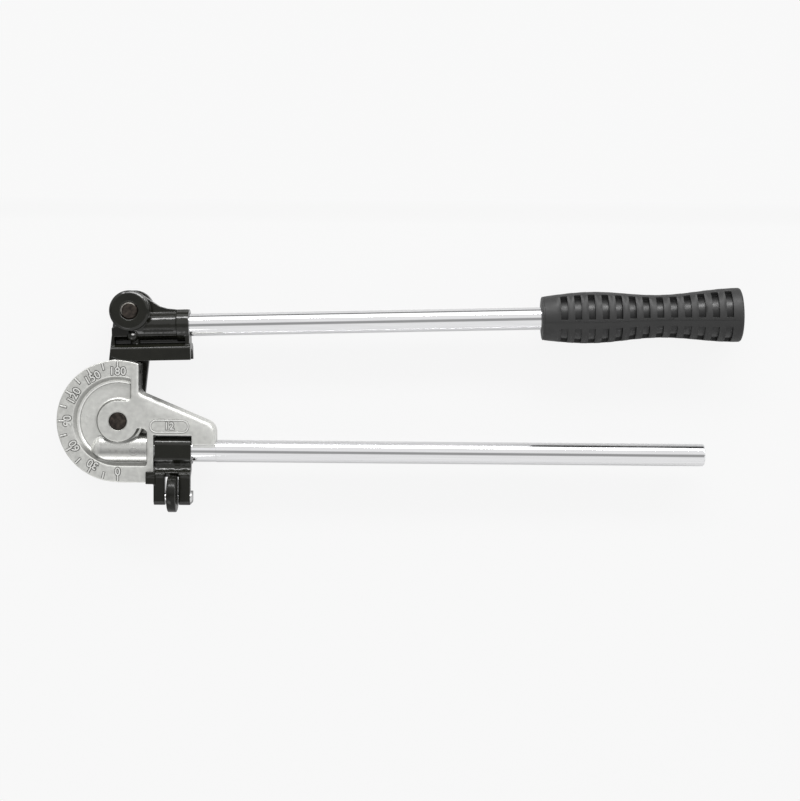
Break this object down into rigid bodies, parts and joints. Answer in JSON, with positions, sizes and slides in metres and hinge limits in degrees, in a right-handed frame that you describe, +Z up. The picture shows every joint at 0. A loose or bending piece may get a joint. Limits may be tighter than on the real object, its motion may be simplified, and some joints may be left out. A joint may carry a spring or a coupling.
{
  "type": "tube bender",
  "caption": "Lever tube bender: a grooved wheel with a degree scale on a fixed handle, a swinging lever with a grooved shoe and rubber grip, and a hooked latch that holds the tube.",
  "frame": {"origin": "on the axis of the forming wheel, at the back end of its pivot pin, which lies on the bench", "axes": "+X along the fixed handle to its free end, +Y from the wheel to the head's pivot, +Z up through the face with the scale"},
  "size_m": [0.4272, 0.142, 0.0445],
  "materials": {
    "cast_aluminium": "satin cast",
    "chrome": "polished",
    "black_paint": "gloss",
    "dark_pin": "blackened",
    "zinc": "plated",
    "black_rubber": "matte"
  },
  "bodies": {
    "frame": {"forming_wheel": "cast_aluminium", "fixed_handle_tube": "chrome", "fixed_handle_plug": "chrome", "fixed_handle_pin": "zinc", "wheel_pivot_pin": "dark_pin", "wheel_pivot_ring": "zinc"},
    "link": {"link_bar": "black_paint", "wheel_pivot_washer": "zinc", "head_pivot_washer": "zinc"},
    "lever": {"lever_head": "black_paint", "head_pivot_pin": "dark_pin", "head_pivot_ring": "zinc", "lever_tube": "chrome", "lever_tube_pin": "zinc", "lever_tube_plug": "black_rubber", "lever_grip": "black_rubber"},
    "latch": {"latch_hook": "black_paint", "latch_rivet": "zinc", "latch_spacer": "zinc"},
    "cam": {"latch_cam": "black_paint"}
  },
  "joints": [
    {"name": "link_swing", "type": "hinge", "parent": "frame", "child": "link", "pos_m": [0, 0, 0.0165], "axis": [0, 0, 1], "range_deg": [0, 180]},
    {"name": "lever_lift", "type": "hinge", "parent": "link", "child": "lever", "pos_m": [0.00764, 0.06903, 0.0165], "axis": [0, 0, 1], "range_deg": [0, 75]},
    {"name": "latch_swing", "type": "hinge", "parent": "frame", "child": "latch", "pos_m": [0.034, -0.0188, 0.0165], "axis": [-1, 0, 0], "range_deg": [0, 80]},
    {"name": "cam_turn", "type": "hinge", "parent": "latch", "child": "cam", "pos_m": [0.034, -0.047, 0.0255], "axis": [-1, 0, 0], "range_deg": [-60, 0]}
  ]
}
